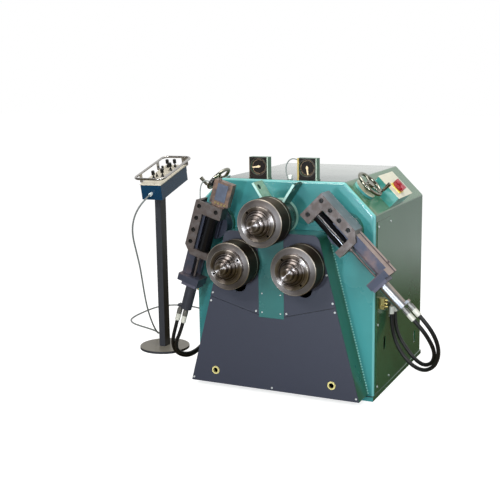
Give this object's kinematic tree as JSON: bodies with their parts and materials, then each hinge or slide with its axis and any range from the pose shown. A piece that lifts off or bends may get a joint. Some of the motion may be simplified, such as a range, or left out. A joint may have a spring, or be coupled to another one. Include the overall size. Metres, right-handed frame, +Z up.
{
  "type": "section bending roll machine",
  "caption": "Floor-standing hydraulic section bending machine with pyramid rolls, side guide rolls on swinging rams, dials, handwheels and a separate control pedestal.",
  "frame": {"origin": "on the floor at the middle of the casing's base", "axes": "+X to the right seen from the front, +Y from the front plate towards the rear, +Z up"},
  "size_m": [2.3856, 1.7119, 1.216],
  "materials": {
    "black_plastic": "satin",
    "black_roll": "gloss",
    "brass": "bright",
    "bright_steel": "turned",
    "casting": "as cast",
    "chrome_wheel": "polished",
    "cover_slate": "satin",
    "cream": "satin",
    "cylinder_paint": "satin",
    "desk_blue": "satin",
    "dial_green": "satin",
    "frame_steel": "satin",
    "green_enamel": "gloss",
    "grey_cable": "satin",
    "guide_arm_steel": "ground",
    "guide_steel": "ground",
    "hose_rubber": "satin",
    "post_grey": "satin",
    "roll_steel": "turned",
    "screw_steel": "bright",
    "switch_red": "gloss"
  },
  "bodies": {
    "machine": {"base_frame": "green_enamel", "casing_shell": "green_enamel", "access_panels": "green_enamel", "inner_frame_plate": "frame_steel", "front_housing": "green_enamel", "slot_plates": "cover_slate", "lower_front_cover": "cover_slate", "cover_screws": "screw_steel", "arm_pivot_pin": "green_enamel", "top_bearing_boss": "green_enamel", "top_roll_motor": "casting", "oil_tank": "frame_steel", "pump_motor": "casting", "lift_cylinders": "cylinder_paint", "guide_sleeves": "green_enamel", "bulkhead_fittings": "brass", "dial_housings": "dial_green", "switch_box": "green_enamel", "right_hose_front": "hose_rubber", "right_hose_rear": "hose_rubber", "left_hose_front": "hose_rubber", "left_hose_rear": "hose_rubber", "control_cable": "grey_cable", "pedestal_stand": "post_grey", "pedestal_box": "desk_blue", "pedestal_guard_rail": "post_grey", "dial_cable": "grey_cable"},
    "top_roll": {"top_shaft": "bright_steel", "top_roll": "roll_steel", "top_roll_nut": "bright_steel"},
    "right_arm": {"right_swing_arm": "casting"},
    "left_arm": {"left_swing_arm": "casting"},
    "right_roll": {"right_shaft": "bright_steel", "right_roll": "roll_steel", "right_roll_nut": "bright_steel"},
    "left_roll": {"left_shaft": "bright_steel", "left_roll": "roll_steel", "left_roll_nut": "bright_steel"},
    "right_lift": {"right_lift_rod": "bright_steel"},
    "left_lift": {"left_lift_rod": "bright_steel"},
    "right_guide": {"right_guide_arm": "guide_arm_steel", "right_guide_cylinder": "cylinder_paint"},
    "left_guide": {"left_guide_arm": "guide_arm_steel", "left_guide_cylinder": "cylinder_paint"},
    "right_holder": {"right_guide_holder": "guide_steel"},
    "left_holder": {"left_guide_holder": "guide_steel", "left_guide_head": "guide_steel", "left_guide_cable": "grey_cable"},
    "right_side_roll": {"right_guide_roll": "black_roll"},
    "left_side_roll": {"left_guide_roll": "black_roll"},
    "right_wheel": {"right_handwheel": "chrome_wheel"},
    "left_wheel": {"left_handwheel": "chrome_wheel"},
    "right_pointer": {"right_dial_pointer": "cream"},
    "left_pointer": {"left_dial_pointer": "cream"},
    "switch_knob": {"main_switch": "switch_red"},
    "lever_1": {"pedestal_lever_1": "black_plastic"},
    "lever_2": {"pedestal_lever_2": "black_plastic"},
    "lever_3": {"pedestal_lever_3": "black_plastic"},
    "lever_4": {"pedestal_lever_4": "black_plastic"},
    "lever_5": {"pedestal_lever_5": "black_plastic"}
  },
  "joints": [
    {"name": "top_roll_spin", "type": "hinge", "parent": "machine", "child": "top_roll", "pos_m": [0, -0.645, 0.92], "axis": [0, 1, 0], "continuous": true},
    {"name": "right_arm_swing", "type": "hinge", "parent": "machine", "child": "right_arm", "pos_m": [0, -0.435, 0.632], "axis": [0, -1, 0], "range_deg": [-36, 11]},
    {"name": "right_roll_spin", "type": "hinge", "parent": "right_arm", "child": "right_roll", "pos_m": [0.17649, -0.645, 0.69589], "axis": [0, 1, 0], "continuous": true},
    {"name": "right_lift_slide", "type": "slide", "parent": "machine", "child": "right_lift", "axis": [0, 0, 1], "range_m": [-0.194, 0.06]},
    {"name": "left_arm_swing", "type": "hinge", "parent": "machine", "child": "left_arm", "pos_m": [0, -0.435, 0.632], "axis": [0, 1, 0], "range_deg": [-36, 11]},
    {"name": "left_roll_spin", "type": "hinge", "parent": "left_arm", "child": "left_roll", "pos_m": [-0.17649, -0.645, 0.69589], "axis": [0, 1, 0], "continuous": true},
    {"name": "left_lift_slide", "type": "slide", "parent": "machine", "child": "left_lift", "axis": [0, 0, 1], "range_m": [-0.194, 0.06]},
    {"name": "right_guide_swing", "type": "hinge", "parent": "machine", "child": "right_guide", "pos_m": [0.352, -0.435, 0.87], "axis": [0, -1, 0], "range_deg": [-33, 10], "deforming": ["right_hose_front", "right_hose_rear"]},
    {"name": "right_guide_slide", "type": "slide", "parent": "right_guide", "child": "right_holder", "axis": [0.7071, 0, -0.7071], "range_m": [-0.005, 0.11]},
    {"name": "right_side_roll_spin", "type": "hinge", "parent": "right_holder", "child": "right_side_roll", "pos_m": [0.32018, -0.566, 0.88768], "axis": [0.7071, 0, -0.7071], "continuous": true},
    {"name": "right_handwheel_turn", "type": "hinge", "parent": "machine", "child": "right_wheel", "pos_m": [0.394, -0.3, 1.051], "axis": [0.7071, 0, 0.7071], "range_deg": [-995, 305]},
    {"name": "right_dial_turn", "type": "hinge", "parent": "machine", "child": "right_pointer", "pos_m": [0.131, -0.405, 1.167], "axis": [0, 1, 0], "range_deg": [-145, 45]},
    {"name": "left_guide_swing", "type": "hinge", "parent": "machine", "child": "left_guide", "pos_m": [-0.352, -0.435, 0.87], "axis": [0, 1, 0], "range_deg": [-5, 28], "deforming": ["left_hose_front", "left_hose_rear"]},
    {"name": "left_guide_slide", "type": "slide", "parent": "left_guide", "child": "left_holder", "axis": [-0.2924, 0, -0.9563], "range_m": [-0.08, 0.035]},
    {"name": "left_side_roll_spin", "type": "hinge", "parent": "left_holder", "child": "left_side_roll", "pos_m": [-0.35413, -0.566, 0.82882], "axis": [-0.2924, 0, -0.9563], "continuous": true},
    {"name": "left_handwheel_turn", "type": "hinge", "parent": "machine", "child": "left_wheel", "pos_m": [-0.394, -0.3, 1.051], "axis": [-0.7071, 0, 0.7071], "range_deg": [-155, 845]},
    {"name": "left_dial_turn", "type": "hinge", "parent": "machine", "child": "left_pointer", "pos_m": [-0.137, -0.405, 1.167], "axis": [0, 1, 0], "range_deg": [-145, 45]},
    {"name": "main_switch_turn", "type": "hinge", "parent": "machine", "child": "switch_knob", "pos_m": [0.50845, -0.087, 1.04969], "axis": [0.7071, 0, 0.7071], "range_deg": [0, 90]},
    {"name": "lever_1_tilt", "type": "hinge", "parent": "machine", "child": "lever_1", "pos_m": [-0.961, -0.09403, 1.04092], "axis": [0.9973, 0.0732, 0], "range_deg": [-15, 15], "stiffness_Nm_per_rad": 0.6},
    {"name": "lever_2_tilt", "type": "hinge", "parent": "machine", "child": "lever_2", "pos_m": [-0.92495, -0.05232, 1.04998], "axis": [0.9973, 0.0732, 0], "range_deg": [-15, 15], "stiffness_Nm_per_rad": 0.6},
    {"name": "lever_3_tilt", "type": "hinge", "parent": "machine", "child": "lever_3", "pos_m": [-0.93287, 0.05551, 1.0751], "axis": [0.9973, 0.0732, 0], "range_deg": [-15, 15], "stiffness_Nm_per_rad": 0.6},
    {"name": "lever_4_tilt", "type": "hinge", "parent": "machine", "child": "lever_4", "pos_m": [-0.98296, 0.10946, 1.08845], "axis": [0.9973, 0.0732, 0], "range_deg": [-15, 15], "stiffness_Nm_per_rad": 0.6},
    {"name": "lever_5_tilt", "type": "hinge", "parent": "machine", "child": "lever_5", "pos_m": [-0.93865, 0.12053, 1.09026], "axis": [0.9973, 0.0732, 0], "range_deg": [-15, 15], "stiffness_Nm_per_rad": 0.6}
  ],
  "couplings": [
    {"joint": "right_roll_spin", "follows": "top_roll_spin", "ratio": -1},
    {"joint": "left_roll_spin", "follows": "top_roll_spin", "ratio": -1},
    {"joint": "right_lift_slide", "follows": "right_arm_swing", "m_per_rad": 0.3057},
    {"joint": "right_dial_turn", "follows": "right_arm_swing", "ratio": 4},
    {"joint": "right_handwheel_turn", "follows": "right_guide_swing", "ratio": 30},
    {"joint": "left_lift_slide", "follows": "left_arm_swing", "m_per_rad": 0.3057},
    {"joint": "left_dial_turn", "follows": "left_arm_swing", "ratio": 4},
    {"joint": "left_handwheel_turn", "follows": "left_guide_swing", "ratio": 30}
  ]
}
